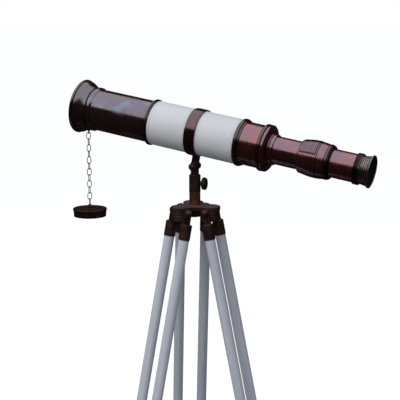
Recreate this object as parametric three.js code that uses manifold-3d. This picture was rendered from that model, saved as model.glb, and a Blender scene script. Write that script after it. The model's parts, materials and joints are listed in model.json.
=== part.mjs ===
// Floor-standing refracting telescope on a folding wooden tripod.
// Millimetres, +Z up, floor at z = 0. The optical axis lies in the XZ plane, eyepiece towards +X.
import * as THREE from "three";
import { mergeVertices } from "three/addons/utils/BufferGeometryUtils.js";
import Module from "manifold-3d";

const wasm = await Module();
wasm.setup();

// ---- driving dimensions ----
const GAP = 0.3;                 // air between pieces that touch
const COLUMN_X = -50.19;         // the column's axis, so that the whole object is centred on x = 0
const HUB_TOP = 1353.5;          // top of the tripod hub above the floor
const PIVOT_Z = HUB_TOP + 87.5;  // the tilt bolt
const TILT = THREE.MathUtils.degToRad(9);
const PIVOT_DROP = 77;           // optical axis to tilt bolt
const PIVOT_STATION = 3;         // tilt bolt along the optical axis, from the clamp band's middle

const LARGE = 28;                // facets round the main tube
const MEDIUM = 18;               // facets round the draw tubes and the column
const SLIM = 14;                 // facets round the leg rods and their fittings
const SMALL = 10;                // facets round bolts and screws

// stations along the optical axis from the clamp band's middle, towards the eyepiece
const BELL_RIM = -302;
const TUBE_FRONT = -265;
const HOOD_RING_END = -254;
const FRONT_BEAD = -114.5;
const LEATHER_FRONT = -106.5;
const BAND_HALF = 13;
const LEATHER_REAR = 103;
const REAR_BEAD_END = 115.5;
const FLANGE = 157.5;
const FLANGE_FACE = 177.6;
const GUIDE_INNER = 140;
const GUIDE_END = 188;
const DRAW_INNER = 101;
const RELAY_START = 245;
const RELAY_RING = 305.5;
const RELAY_END = 317;
const EYE_RING = 369;
const EYE_NECK = 380;
const EYECUP_RIM = 404;

// radii
const TUBE_R = 47.6;
const TUBE_BORE = 46.4;
const SLEEVE_BORE = TUBE_R + GAP;
const LEATHER_R = 50;
const BAND_R = 53.3;
const DRAW_R = 30.8;
const DRAW_BORE = 29.4;
const LENS_R = 42.5;
const ROD_R = 11.75;             // upper leg rods
const LOWER_ROD_R = 12;
const BOLT_R = 4;

// chain
const WIRE = 1.9;
const LINK_WIDTH = 11;
const LINK_LENGTH = 18;
const LINKS_PER_RUN = 6;
const LINK_TWIST = THREE.MathUtils.degToRad(25);
const EYE_R = 3.4;               // wire centre of the chain's two eyes
const EYE_PAD = 2.2;             // height of the pad under each eye
const CHAIN_STATION = -276;      // the chain's eye, under the bell's neck
const CHAIN_SEAT = 51.7;         // radius of the eye's seat
const HOOK_GAP = 0.8;            // air between the wires at the chain's three hinges

// head
const LUG_HALF = 4.8;            // half thickness of the lug under the clamp band
const FORK_R = 9.5;
const FORK_TOP = 10;             // heights from the tilt bolt
const FORK_SEAT = -18.3;
const PIVOT_BOLT_HALF = 17;
const NUT_R = 8.6;
const NUT_HEIGHT = 11.6;
const KNOB_DROP = 39;            // tilt bolt to lock knob
const COLLAR_END = HUB_TOP + 30.1;

// tripod
const LEGS = 3;
const LEG_LEAN = THREE.MathUtils.degToRad(11.8);
const LEG_BOLT_RADIUS = 38;
const LEG_BOLT_DROP = 12;
const ROD_SPACING = 58;
const EAR_INNER = 24.5;
const EAR_OUTER = 30.5;
const ROD_TOP = -31;             // along the leg from its bolt, downwards
const BRACKET_TOP = -690;
const BRACKET_END = -745;
const LOWER_ROD_TOP = -540;
const FOOT_TOP = -1315.5;
const KNOB_AZIMUTH = THREE.MathUtils.degToRad(10);

// ---- materials ----
const bronze = { color: 0x5a3a30, roughness: 0.22, metalness: 1 };
const darkBronze = { color: 0x33211d, roughness: 0.38, metalness: 1 };
const leather = { color: 0xe4e6ea, roughness: 0.55, metalness: 0 };
const paintedWood = { color: 0xd5d8de, roughness: 0.5, metalness: 0 };
const glass = { color: 0xbfd4dc, roughness: 0.05, metalness: 0, transparent: true, opacity: 0.4 };
const blackPlastic = { color: 0x0c0c0d, roughness: 0.4, metalness: 0 };

// ---- shape helpers ----
function welded(geometry) {
  const bare = geometry.clone();
  bare.deleteAttribute("normal");
  bare.deleteAttribute("uv");
  const merged = mergeVertices(bare, 1e-4);
  const corners = merged.index.array;
  const kept = [];
  for (let i = 0; i < corners.length; i += 3) {
    const [a, b, c] = corners.slice(i, i + 3);
    if (a !== b && b !== c && c !== a) kept.push(a, b, c);
  }
  merged.setIndex(kept);
  return merged;
}

function solid(geometry) {
  const closed = welded(geometry);
  const vertProperties = new Float32Array(closed.attributes.position.array);
  const triVerts = new Uint32Array(closed.index.array);
  return new wasm.Manifold(new wasm.Mesh({ numProp: 3, vertProperties, triVerts }));
}

function geometryOf(body) {
  const { vertProperties, triVerts } = body.getMesh();
  const geometry = new THREE.BufferGeometry();
  geometry.setAttribute("position", new THREE.BufferAttribute(vertProperties, 3));
  geometry.setIndex(new THREE.BufferAttribute(triVerts, 1));
  return geometry;
}

const join = (...geometries) => geometryOf(geometries.map(solid).reduce((a, b) => a.add(b)));
const cut = (geometry, ...tools) => geometryOf(
  tools.map(solid).reduce((a, b) => a.subtract(b), solid(geometry)),
);

// a profile is a list of [place along the axis, radius]; it closes on itself, or starts and ends on the axis
function lathe(profile, segments) {
  const points = profile.map(([along, radius]) => new THREE.Vector2(radius, along));
  if (points[0].x > 0) points.push(points[0].clone());
  if (THREE.ShapeUtils.area(points) < 0) points.reverse();
  return welded(new THREE.LatheGeometry(points, segments));
}

const alongX = (profile, segments) => lathe(profile, segments).rotateZ(-Math.PI / 2);
const alongY = (profile, segments) => lathe(profile, segments);
const alongZ = (profile, segments) => lathe(profile, segments).rotateX(Math.PI / 2);

const tube = (from, to, bore, radius) => [[from, bore], [from, radius], [to, radius], [to, bore]];
const rod = (from, to, radius) => [[from, 0], [from, radius], [to, radius], [to, 0]];

function roundedRing(from, to, bore, radius, round) {
  return [
    [from, bore], [from, radius - round], [from + round, radius],
    [to - round, radius], [to, radius - round], [to, bore],
  ];
}

function flare(from, to, radiusFrom, radiusTo, steps, power) {
  return Array.from({ length: steps + 1 }, (_, i) => {
    const u = i / steps;
    return [from + (to - from) * u, radiusFrom + (radiusTo - radiusFrom) * u ** power];
  });
}

function lensProfile(middle, radius, edge, bulge) {
  const half = edge / 2;
  return [
    [middle - half - bulge, 0], [middle - half - bulge * 0.75, radius / 2], [middle - half, radius],
    [middle + half, radius], [middle + half + bulge * 0.75, radius / 2], [middle + half + bulge, 0],
  ];
}

// a half-round dome on a flat seat, standing away from the origin along the lathe's axis
function domeProfile(seat, side, radius, height) {
  return [
    [seat, radius * 0.94], [seat + side * height * 0.2, radius], [seat + side * height * 0.6, radius * 0.84],
    [seat + side * height * 0.9, radius * 0.45], [seat + side * height, 0],
  ];
}

// a flat plate in the XZ plane with a round end about the origin, thick along Y
function earPlate(halfWidth, top, yFrom, yTo) {
  const outline = new THREE.Shape();
  outline.moveTo(-halfWidth, top);
  outline.lineTo(-halfWidth, 0);
  outline.absarc(0, 0, halfWidth, Math.PI, top > 0 ? 2 * Math.PI : 0, top < 0);
  outline.lineTo(halfWidth, top);
  const plate = new THREE.ExtrudeGeometry(outline, {
    depth: yTo - yFrom, bevelEnabled: false, curveSegments: 6,
  });
  return plate.rotateX(Math.PI / 2).translate(0, yTo, 0);
}

const pinAlongY = (halfLength, radius) => alongY(rod(-halfLength, halfLength, radius), SMALL);

function lobedDisc(radius, lobes, depth, lobeHeight) {
  const points = Array.from({ length: lobes * 3 }, (_, i) => {
    const angle = (i / (lobes * 3)) * 2 * Math.PI;
    const r = radius - lobeHeight + lobeHeight * Math.cos(lobes * angle);
    return new THREE.Vector2(r * Math.cos(angle), r * Math.sin(angle));
  });
  const bevel = 1.2;
  const disc = new THREE.ExtrudeGeometry(new THREE.Shape(points), {
    depth: depth - 2 * bevel, bevelThickness: bevel, bevelSize: bevel, bevelOffset: -bevel, bevelSegments: 1,
  });
  return disc.translate(0, 0, bevel).rotateY(Math.PI / 2);
}

function piece(parent, name, geometry, look) {
  const mesh = new THREE.Mesh(geometry, new THREE.MeshStandardMaterial({ ...look, flatShading: true }));
  mesh.name = name;
  parent.add(mesh);
  return mesh;
}

function frameIn(parent, x, y, z) {
  const group = new THREE.Group();
  group.position.set(x, y, z);
  parent.add(group);
  return group;
}

// ---- optical tube: everything that tilts as one ----
function objectiveBell() {
  const spigotEnd = TUBE_FRONT + 9;
  return alongX([
    [spigotEnd, TUBE_BORE - GAP - 1.5], [spigotEnd, TUBE_BORE - GAP], [TUBE_FRONT - GAP, TUBE_BORE - GAP],
    ...flare(TUBE_FRONT - GAP, -293.5, 48.6, 60.5, 4, 2.2),
    [-295.5, 62.2], [-299.5, 62.2], [BELL_RIM, 60], [-301, 57.9],
    ...flare(TUBE_FRONT, -297, TUBE_BORE - GAP - 1.5, 57.2, 3, 2.2).reverse(),
  ], LARGE);
}

function objectiveCell() {
  return alongX([
    [-255.7, 38.8], [-255.7, TUBE_BORE - GAP], [-230, TUBE_BORE - GAP], [-230, 40.2],
    [-233, 40.2], [-233, LENS_R + GAP], [-243, LENS_R + GAP], [-243, 38.8],
  ], LARGE);
}

const FLANGE_SEAT = FLANGE_FACE - 5.6;               // where the main tube's end meets the flange's face

function rearFlange() {
  return alongX([
    [FLANGE, SLEEVE_BORE], [FLANGE, 51], [FLANGE + 1.5, 52.2], [FLANGE_FACE - 8, 52.2],
    [FLANGE_FACE - 4, 50], [FLANGE_FACE - 1.4, 45], [FLANGE_FACE, 38], [FLANGE_FACE, 36.2],
    [FLANGE_FACE - 3.6, 36.2], [FLANGE_SEAT, 46.5], [FLANGE_SEAT, SLEEVE_BORE],
  ], LARGE);
}

function drawGuide() {
  const bore = DRAW_R + GAP;
  return alongX([
    [GUIDE_INNER, bore], [GUIDE_INNER, 33], [FLANGE_FACE - 4.6, 33], [FLANGE_FACE - 4.6, 35.9],
    [FLANGE_FACE + GAP, 35.9], [FLANGE_FACE + GAP, 37], [FLANGE_FACE + 2.6, 37], [FLANGE_FACE + 4.2, 34.4],
    [GUIDE_END - 1.5, 33.8], [GUIDE_END, 32.8], [GUIDE_END, bore],
  ], MEDIUM);
}

function clampBand() {
  const lug = earPlate(8, PIVOT_DROP - 51.6, -LUG_HALF, LUG_HALF).translate(PIVOT_STATION, 0, -PIVOT_DROP);
  const ring = alongX(roundedRing(-BAND_HALF, BAND_HALF, LEATHER_R + GAP, BAND_R, 1), LARGE);
  const hole = pinAlongY(10, BOLT_R + GAP).translate(PIVOT_STATION, 0, -PIVOT_DROP);
  return cut(join(ring, lug), hole);
}

// one eye of bent wire on a round pad; the pad's seat is at z = 0 and the eye hangs below it
function wireEye(angle) {
  const pad = alongZ([[0, 0], [0, 3.6], [-1.2, 4], [-EYE_PAD, 3], [-EYE_PAD, 0]], SMALL);
  const ring = new THREE.TorusGeometry(EYE_R, WIRE / 2, 5, SMALL).rotateX(Math.PI / 2).rotateZ(angle);
  return join(pad, ring.translate(0, 0, -EYE_PAD - EYE_R));
}

function addOpticalTube(root) {
  const optics = frameIn(root, COLUMN_X, 0, PIVOT_Z);
  optics.rotation.y = TILT;
  const axis = frameIn(optics, -PIVOT_STATION, 0, PIVOT_DROP);
  piece(axis, "objective_bell", objectiveBell(), bronze);
  piece(axis, "hood_ring",
    alongX(roundedRing(TUBE_FRONT, HOOD_RING_END, SLEEVE_BORE, 50.8, 1.4), LARGE), bronze);
  piece(axis, "main_tube", alongX(tube(TUBE_FRONT, FLANGE_SEAT - GAP, TUBE_BORE, TUBE_R), LARGE), bronze);
  piece(axis, "objective_cell", objectiveCell(), darkBronze);
  piece(axis, "objective_lens", alongX(lensProfile(-238, LENS_R, 4, 2.5), MEDIUM), glass);
  piece(axis, "front_bead_ring",
    alongX(roundedRing(FRONT_BEAD, LEATHER_FRONT - GAP, SLEEVE_BORE, 52.6, 2), LARGE), bronze);
  piece(axis, "leather_sleeve",
    alongX(tube(LEATHER_FRONT, LEATHER_REAR, SLEEVE_BORE, LEATHER_R), LARGE), leather);
  piece(axis, "clamp_band", clampBand(), bronze);
  piece(axis, "rear_bead_ring",
    alongX(roundedRing(LEATHER_REAR + GAP, REAR_BEAD_END, SLEEVE_BORE, 53, 2.4), LARGE), bronze);
  piece(axis, "rear_flange", rearFlange(), bronze);
  piece(axis, "draw_guide_collar", drawGuide(), bronze);
  const eyeSeat = frameIn(axis, CHAIN_STATION, 0, -CHAIN_SEAT);
  piece(eyeSeat, "chain_eye", wireEye(LINK_TWIST + Math.PI / 2), darkBronze);
  return { axis, eyeSeat };
}

// ---- draw tube with the relay barrel, and the eyepiece tube that slides in it ----
function relayBarrel() {
  const bore = DRAW_R + GAP;
  return alongX([
    [RELAY_START, bore], [RELAY_START, 34.2], [RELAY_START + 2, 36.2], [RELAY_START + 10, 37.2],
    [RELAY_START + 20, 38.8], [RELAY_START + 32, 40], [RELAY_START + 43, 39.9], [RELAY_START + 51, 39.2],
    [RELAY_RING - GAP, 37.7], [RELAY_RING - GAP, bore],
  ], MEDIUM);
}

function relayRing() {
  return alongX([
    [RELAY_RING, DRAW_R + GAP], [RELAY_RING, 37.5], [RELAY_RING + 2, 38.6], [RELAY_END - 3.5, 37.6],
    [RELAY_END, 34.2], [RELAY_END, DRAW_R + GAP],
  ], MEDIUM);
}

function eyecup() {
  const bore = DRAW_R + GAP;
  return alongX([
    [EYE_RING + 4, bore], [EYE_NECK, bore], [EYE_NECK, 14], [EYE_NECK + 6, 14],
    ...flare(EYE_NECK + 10, EYECUP_RIM - 2, 20, 32.8, 3, 1.6),
    [EYECUP_RIM, 33.8], [EYECUP_RIM - 0.4, 35], [EYECUP_RIM - 3, 35.6], [EYECUP_RIM - 6, 34.2],
    [EYE_NECK + 14, 31.4], [EYE_NECK + 11, 31.6], [EYE_NECK + 9, 30.4], [EYE_NECK + 6, 30.8],
    [EYE_NECK + 4, 29.6], [EYE_NECK + 1.6, 30], [EYE_NECK + 1.6, 32.1], [EYE_RING + 4, 32.1],
  ], MEDIUM);
}

function addEyeEnd(axis) {
  piece(axis, "draw_tube", alongX(tube(DRAW_INNER, RELAY_START + 10, DRAW_BORE, DRAW_R), MEDIUM), bronze);
  piece(axis, "relay_barrel", relayBarrel(), bronze);
  piece(axis, "relay_barrel_ring", relayRing(), darkBronze);
  piece(axis, "relay_lens", alongX(lensProfile(RELAY_START - 6, DRAW_BORE - GAP, 3, 2), MEDIUM), glass);
  const tubeInner = RELAY_RING - 14;
  piece(axis, "eyepiece_tube", alongX(tube(tubeInner, EYE_NECK - GAP, DRAW_BORE, DRAW_R), MEDIUM), bronze);
  piece(axis, "eyepiece_ring",
    alongX(roundedRing(EYE_RING, EYE_NECK, 32.1 + GAP, 33.8, 1), MEDIUM), darkBronze);
  piece(axis, "eyecup", eyecup(), bronze);
  piece(axis, "eyepiece_lens", alongX(lensProfile(EYE_NECK - 7, DRAW_BORE - GAP, 3, 2.2), MEDIUM), glass);
}

// ---- chain and lens cap, hanging straight down from the eye under the bell ----
function chainLink(angle) {
  const steps = 8;
  const bend = (LINK_WIDTH - WIRE) / 2;
  const ring = new THREE.TorusGeometry(bend, WIRE / 2, 5, steps).rotateZ(Math.PI / steps);
  const straight = (LINK_LENGTH - LINK_WIDTH) / 2;
  const position = ring.attributes.position;
  for (let i = 0; i < position.count; i += 1) {
    position.setY(i, position.getY(i) + Math.sign(position.getY(i)) * straight);
  }
  return ring.rotateX(Math.PI / 2).rotateZ(angle);
}

const HELD_PITCH = LINK_LENGTH - 2 * WIRE + 0.15;    // links of one run press together
const LOOSE_PITCH = LINK_LENGTH - 2 * WIRE - HOOK_GAP; // the two runs hang with air between their wires
const RUN_LENGTH = HELD_PITCH * (LINKS_PER_RUN - 1);
const LINK_REACH = (LINK_LENGTH - WIRE) / 2;         // link middle to the wire centre of its bend

function chainRun(firstAngle) {
  const links = Array.from({ length: LINKS_PER_RUN }, (_, i) =>
    chainLink(firstAngle + (i % 2) * Math.PI / 2).translate(0, 0, -i * HELD_PITCH));
  return join(...links);
}

function lensCap() {
  return alongZ([
    [-3, 0], [-3, 36.3], [-19, 36.3], [-19, 38.2], [-5.2, 38.2], [-4.6, 40], [-1, 40], [0, 38.8], [0, 0],
  ], LARGE);
}

function addChain(root, eyeSeat) {
  root.updateMatrixWorld(true);
  const eyeBottom = eyeSeat.localToWorld(new THREE.Vector3(0, 0, -EYE_PAD - 2 * EYE_R));
  const top = eyeBottom.z + WIRE + HOOK_GAP - LINK_REACH;
  const upper = frameIn(root, eyeBottom.x, 0, top);
  piece(upper, "chain_upper", chainRun(LINK_TWIST), darkBronze);
  const lower = frameIn(root, eyeBottom.x, 0, top - RUN_LENGTH - LOOSE_PITCH);
  piece(lower, "chain_lower", chainRun(LINK_TWIST), darkBronze);
  const lastWire = lower.position.z - RUN_LENGTH - LINK_REACH;
  const capTop = lastWire + WIRE + HOOK_GAP - 2 * EYE_R - EYE_PAD - GAP;
  const cap = frameIn(root, eyeBottom.x, 0, capTop);
  piece(cap, "lens_cap", lensCap(), darkBronze);
  piece(cap, "cap_eyelet", wireEye(-LINK_TWIST).rotateX(Math.PI).translate(0, 0, GAP), darkBronze);
}

// ---- head: fork on a stem that turns in the clamp collar ----
function tiltFork() {
  const body = alongZ([
    [FORK_SEAT - 55, 0], [FORK_SEAT - 55, 9], [FORK_SEAT, 9], [FORK_SEAT, FORK_R], [FORK_TOP - 2, FORK_R],
    [FORK_TOP, FORK_R - 2], [FORK_TOP, 0],
  ], MEDIUM);
  const slotFloor = -13.5;
  const slot = new THREE.BoxGeometry(4 * FORK_R, 2 * (LUG_HALF + GAP), 2 * FORK_TOP - slotFloor);
  slot.translate(0, 0, slotFloor / 2 + FORK_TOP);
  return cut(body, slot, pinAlongY(2 * FORK_R, BOLT_R + GAP));
}

// a ball on a short neck, blind-bored for the bolt's end
function pivotNut(side) {
  const seat = side * (FORK_R + GAP);
  const floor = side * (PIVOT_BOLT_HALF + GAP);
  const ball = [[0.27, 0.7], [0.38, 0.89], [0.56, 1], [0.74, 0.9], [0.9, 0.62], [1, 0]];
  return alongY([
    [floor, 0], [floor, BOLT_R + GAP], [seat, BOLT_R + GAP], [seat, 5.8], [seat + side * 2, 5.8],
    ...ball.map(([along, radius]) => [seat + side * NUT_HEIGHT * along, NUT_R * radius]),
  ], SLIM);
}

function clampCollar() {
  const top = PIVOT_Z - 18.6;
  const bottom = COLLAR_END;
  const sleeve = alongZ([
    [top, 9 + GAP], [top, 11.5], [top - 1.5, 13], [bottom, 13], [bottom, 10.9],
    [bottom - 21, 10.9], [bottom - 21, 9 + GAP],
  ], MEDIUM);
  const hole = alongX(rod(5, 20, 3.3), SMALL).rotateZ(KNOB_AZIMUTH);
  return cut(sleeve, hole.translate(0, 0, PIVOT_Z - KNOB_DROP));
}

function lockKnob() {
  const disc = lobedDisc(14.3, 8, 9, 0.7).translate(17.5, 0, 0);
  const screw = alongX([[9.4, 0], [9.4, 3], [13.5, 3], [13.5, 5], [18.5, 5], [18.5, 0]], SMALL);
  return join(disc, screw);
}

// ---- hub: a casting with three hollow lobes that the legs hinge on ----
function hubOutline() {
  const lobeR = 23.6;
  const lobeAt = LEG_BOLT_RADIUS - 1;
  const filletR = 22;
  const reach = lobeR + filletR;
  const filletAt = lobeAt / 2 + Math.sqrt(reach ** 2 - lobeAt ** 2 * 0.75);
  const outline = new THREE.Shape();
  for (let i = 0; i < LEGS; i += 1) {
    const azimuth = (i * 2 * Math.PI) / LEGS;
    const next = azimuth + Math.PI / LEGS;
    const lobe = [lobeAt * Math.cos(azimuth), lobeAt * Math.sin(azimuth)];
    const fillet = [filletAt * Math.cos(next), filletAt * Math.sin(next)];
    const touch = Math.atan2(fillet[1] - lobe[1], fillet[0] - lobe[0]);
    const half = touch - azimuth;
    outline.absarc(...lobe, lobeR, azimuth - half, azimuth + half, false);
    outline.absarc(...fillet, filletR, touch + Math.PI, 2 * next - touch - Math.PI, true);
  }
  return outline;
}

function hub() {
  const plate = new THREE.ExtrudeGeometry(hubOutline(), { depth: 10, curveSegments: 5, bevelEnabled: false });
  plate.translate(0, 0, -10);
  const added = [alongZ(rod(-12, -5, 19), SLIM)];
  const removed = [alongZ(rod(-30, 10, 12.6 + GAP), MEDIUM)];
  for (let i = 0; i < LEGS; i += 1) {
    const azimuth = (i * 2 * Math.PI) / LEGS;
    const skirt = alongZ([[-33, 0], [-33, 20.3], [-6, 23.3], [-6, 0]], SLIM);
    const pocket = alongZ([[-40, 0], [-40, 15.8], [-7.5, 18.8], [-7.5, 0]], SMALL);
    const bolt = pinAlongY(40, BOLT_R + GAP).translate(LEG_BOLT_RADIUS, 0, -LEG_BOLT_DROP);
    added.push(skirt.translate(LEG_BOLT_RADIUS - 1, 0, 0).rotateZ(azimuth));
    removed.push(pocket.translate(LEG_BOLT_RADIUS - 1, 0, 0).rotateZ(azimuth), bolt.rotateZ(azimuth));
  }
  return cut(join(plate, ...added), ...removed);
}

function addHead(root) {
  const head = frameIn(root, COLUMN_X, 0, PIVOT_Z);
  piece(head, "tilt_fork", tiltFork(), darkBronze);
  piece(head, "pivot_bolt", pinAlongY(PIVOT_BOLT_HALF, BOLT_R), darkBronze);
  piece(head, "pivot_nut_near", pivotNut(-1), darkBronze);
  piece(head, "pivot_nut_far", pivotNut(1), darkBronze);
  const stand = frameIn(root, COLUMN_X, 0, 0);
  piece(stand, "clamp_collar", clampCollar(), darkBronze);
  const knob = frameIn(stand, 0, 0, PIVOT_Z - KNOB_DROP);
  knob.rotation.z = KNOB_AZIMUTH;
  piece(knob, "lock_knob", lockKnob(), blackPlastic);
  piece(stand, "column_tube", alongZ(tube(HUB_TOP - 11, COLLAR_END - GAP, 11.2, 12.6), MEDIUM), bronze);
  const casting = frameIn(stand, 0, 0, HUB_TOP);
  piece(casting, "hub", hub(), darkBronze);
}

// ---- legs: a pair of rods hung from the hub, a bracket, and one rod that slides between them ----
function legBolt() {
  const reach = EAR_OUTER + GAP;
  const near = domeProfile(-reach, -1, 8.3, 8.5).reverse();
  return alongY([...near, [-reach, BOLT_R], [reach, BOLT_R], ...domeProfile(reach, 1, 8.3, 8.5)], SMALL);
}

function ferrule(side) {
  const bore = ROD_R + GAP;
  const cup = alongZ([
    [-25, 0], [-25, 11.6], [-26.4, 13], [-60, 13], [-60, bore], [ROD_TOP, bore], [ROD_TOP, 0],
  ], SLIM).translate(0, side * ROD_SPACING / 2, 0);
  const near = side > 0 ? EAR_INNER : -EAR_OUTER;
  const ear = earPlate(9, -29, near, near + EAR_OUTER - EAR_INNER);
  return cut(join(cup, ear), pinAlongY(40, BOLT_R + GAP));
}

function bracket() {
  const added = [alongZ(rod(BRACKET_END, BRACKET_TOP, 15.5), SLIM)];
  const removed = [alongZ(rod(BRACKET_END - 5, BRACKET_TOP + 5, LOWER_ROD_R + GAP), SLIM)];
  for (const side of [-1, 1]) {
    const offset = side * ROD_SPACING / 2;
    added.push(alongZ(rod(BRACKET_TOP - 48, BRACKET_TOP, 14.6), SLIM).translate(0, offset, 0));
    const socket = rod(BRACKET_TOP - 44, BRACKET_TOP + 5, ROD_R + GAP);
    removed.push(alongZ(socket, SLIM).translate(0, offset, 0));
  }
  const screwAt = (BRACKET_TOP + BRACKET_END) / 2;
  added.push(alongX(rod(10, 19.5, 7), SMALL).translate(0, 0, screwAt));
  removed.push(alongX(rod(5, 25, 3.3), SMALL).translate(0, 0, screwAt));
  return cut(join(...added), ...removed);
}

function lockScrew() {
  const disc = lobedDisc(11, 6, 8, 1).translate(21.5, 0, 0);
  const screw = alongX([[12.4, 0], [12.4, 3], [19.9, 3], [19.9, 5], [22.5, 5], [22.5, 0]], SMALL);
  return join(disc, screw).translate(0, 0, (BRACKET_TOP + BRACKET_END) / 2);
}

function foot(floorAt) {
  const bore = LOWER_ROD_R + GAP;
  const shoe = alongZ([
    [FOOT_TOP, bore], [FOOT_TOP, 14.4], [FOOT_TOP - 34, 15], [FOOT_TOP - 42, 17.5], [FOOT_TOP - 47, 20],
    [FOOT_TOP - 64, 20], [FOOT_TOP - 64, 0], [FOOT_TOP - 30, 0], [FOOT_TOP - 30, bore],
  ].reverse(), SLIM);
  const ground = new THREE.BoxGeometry(80, 80, 40).translate(0, 0, -20).rotateY(LEG_LEAN);
  return cut(shoe, ground.translate(0, 0, floorAt));
}

function addLeg(root, number) {
  const swing = frameIn(root, COLUMN_X, 0, HUB_TOP - LEG_BOLT_DROP);
  swing.rotation.z = ((number - 1) * 2 * Math.PI) / LEGS;
  const leg = frameIn(swing, LEG_BOLT_RADIUS, 0, 0);
  leg.rotation.y = -LEG_LEAN;
  const floorAt = -(HUB_TOP - LEG_BOLT_DROP) / Math.cos(LEG_LEAN);
  piece(leg, `leg_${number}_bolt`, legBolt(), darkBronze);
  for (const [letter, side] of [["a", -1], ["b", 1]]) {
    piece(leg, `leg_${number}_ferrule_${letter}`, ferrule(side), darkBronze);
    const upper = alongZ(rod(BRACKET_TOP - 43.7, ROD_TOP - GAP, ROD_R), SLIM);
    piece(leg, `leg_${number}_rod_${letter}`, upper.translate(0, side * ROD_SPACING / 2, 0), paintedWood);
  }
  piece(leg, `leg_${number}_bracket`, bracket(), darkBronze);
  piece(leg, `leg_${number}_lock_screw`, lockScrew(), darkBronze);
  const lower = alongZ(rod(FOOT_TOP - 29.7, LOWER_ROD_TOP, LOWER_ROD_R), SLIM);
  piece(leg, `leg_${number}_lower_rod`, lower, paintedWood);
  piece(leg, `leg_${number}_foot`, foot(floorAt), darkBronze);
}

const telescope = new THREE.Group();
const { axis, eyeSeat } = addOpticalTube(telescope);
addEyeEnd(axis);
addChain(telescope, eyeSeat);
addHead(telescope);
for (let number = 1; number <= LEGS; number += 1) addLeg(telescope, number);

export default telescope;
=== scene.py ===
"""Looks of the telescope on its tripod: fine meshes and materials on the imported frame.

Lengths in the outlines are millimetres; MM turns them into the frame's metres.
An outline is a list of (along, radius) or (along, radius, round) corners of a turned piece.
"""
import json
import math
import random

import bmesh
import bpy
from mathutils import Matrix, Vector


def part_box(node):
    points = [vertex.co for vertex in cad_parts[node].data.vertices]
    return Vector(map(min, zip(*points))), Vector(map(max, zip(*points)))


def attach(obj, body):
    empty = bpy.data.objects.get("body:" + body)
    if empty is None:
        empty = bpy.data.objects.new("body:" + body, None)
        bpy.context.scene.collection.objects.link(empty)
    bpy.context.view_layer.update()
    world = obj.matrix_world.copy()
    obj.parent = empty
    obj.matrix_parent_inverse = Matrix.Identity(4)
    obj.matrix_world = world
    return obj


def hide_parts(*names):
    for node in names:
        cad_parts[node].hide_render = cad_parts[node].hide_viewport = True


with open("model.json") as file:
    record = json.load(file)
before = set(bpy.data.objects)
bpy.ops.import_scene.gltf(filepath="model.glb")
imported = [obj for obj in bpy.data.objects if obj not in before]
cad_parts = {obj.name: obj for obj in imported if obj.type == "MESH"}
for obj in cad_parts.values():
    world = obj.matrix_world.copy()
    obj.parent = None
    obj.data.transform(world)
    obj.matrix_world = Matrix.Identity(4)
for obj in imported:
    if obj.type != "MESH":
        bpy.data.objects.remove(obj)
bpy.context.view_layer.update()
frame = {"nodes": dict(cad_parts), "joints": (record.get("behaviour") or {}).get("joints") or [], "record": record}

# ---- the frame: joints, bodies and slots ----
MM = 0.001
GAP = 0.3                        # clearance between seated parts
BOLT_HOLE = 4.3                  # radius of the holes for the tilt and leg bolts
SCREW_HOLE = 3.3                 # and for the lock screws
JOINTS = {joint["name"]: joint for joint in frame["joints"]}
BODY_OF = {node: body for body, nodes in frame["record"]["behaviour"]["bodies"].items() for node in nodes}
SLOT_OF = {row["node"]: row["material_slot"] for row in frame["record"]["subparts"]}
PIVOT = Vector(JOINTS["tilt"]["pos_m"])
OPTICAL_AXIS = Vector(JOINTS["draw_tube_slide"]["axis"])
ACROSS = Vector((0, 1, 0))
TUBE_UP = OPTICAL_AXIS.cross(ACROSS)
COLUMN = Vector((JOINTS["pan"]["pos_m"][0], JOINTS["pan"]["pos_m"][1], 0))
HUB_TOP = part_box("hub")[1].z
LEGS = (1, 2, 3)

PIVOT_DROP = 77                  # optical axis to tilt bolt
PIVOT_STATION = 3                # tilt bolt along the optical axis, from the clamp band's middle
CHAIN_STATION = -276             # the chain's eye, along the optical axis
CHAIN_SEAT = 51.7                # radius of the seat of the chain's eye
SEGMENTS = 96                    # facets round a turned piece
FINE = 128                       # facets round the main tube
SHARP_ANGLE = 32                 # degrees between faces from which an edge shades sharp


def placed(origin, x, y, z):
    """The matrix of a local frame with these axes."""
    return Matrix.Translation(origin) @ Matrix((x, y, z)).transposed().to_4x4()


def turn(degrees, axis):
    return Matrix.Rotation(math.radians(degrees), 4, axis)


def shift(x, y, z):
    """A move given in millimetres."""
    return Matrix.Translation(Vector((x, y, z)) * MM)


# optics: Z along the optical axis towards the eyepiece, X up, Y towards the near side
OPTICS = placed(PIVOT - OPTICAL_AXIS * PIVOT_STATION * MM + TUBE_UP * PIVOT_DROP * MM,
                TUBE_UP, -ACROSS, OPTICAL_AXIS)
HEAD = Matrix.Translation(PIVOT)
HUB = Matrix.Translation(COLUMN + Vector((0, 0, HUB_TOP)))


def leg_place(number):
    """A leg's frame: origin at its bolt, X outwards, Y along the bolt, Z up the leg."""
    bolt = JOINTS[f"leg_{number}_fold"]
    up = Vector(JOINTS[f"leg_{number}_extend"]["axis"])
    along_bolt = Vector(bolt["axis"])
    return placed(Vector(bolt["pos_m"]), along_bolt.cross(up), along_bolt, up)


def measured(node, place):
    """(start, end, bore, radius) of a turned CAD node along and about the Z axis of place."""
    back = place.inverted()
    points = [(back @ vertex.co) / MM for vertex in frame["nodes"][node].data.vertices]
    along = [point.z for point in points]
    radii = [point.xy.length for point in points]
    return min(along), max(along), min(radii), max(radii)


# ---- outlines ----
def full_turn(count):
    """Even angles round a circle."""
    return [2 * math.pi * k / count for k in range(count)]


def polar(radius, angle, *height):
    """A point at an angle about Z: in the plane, or in space if a height is given."""
    return Vector((radius * math.cos(angle), radius * math.sin(angle), *height))


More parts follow.
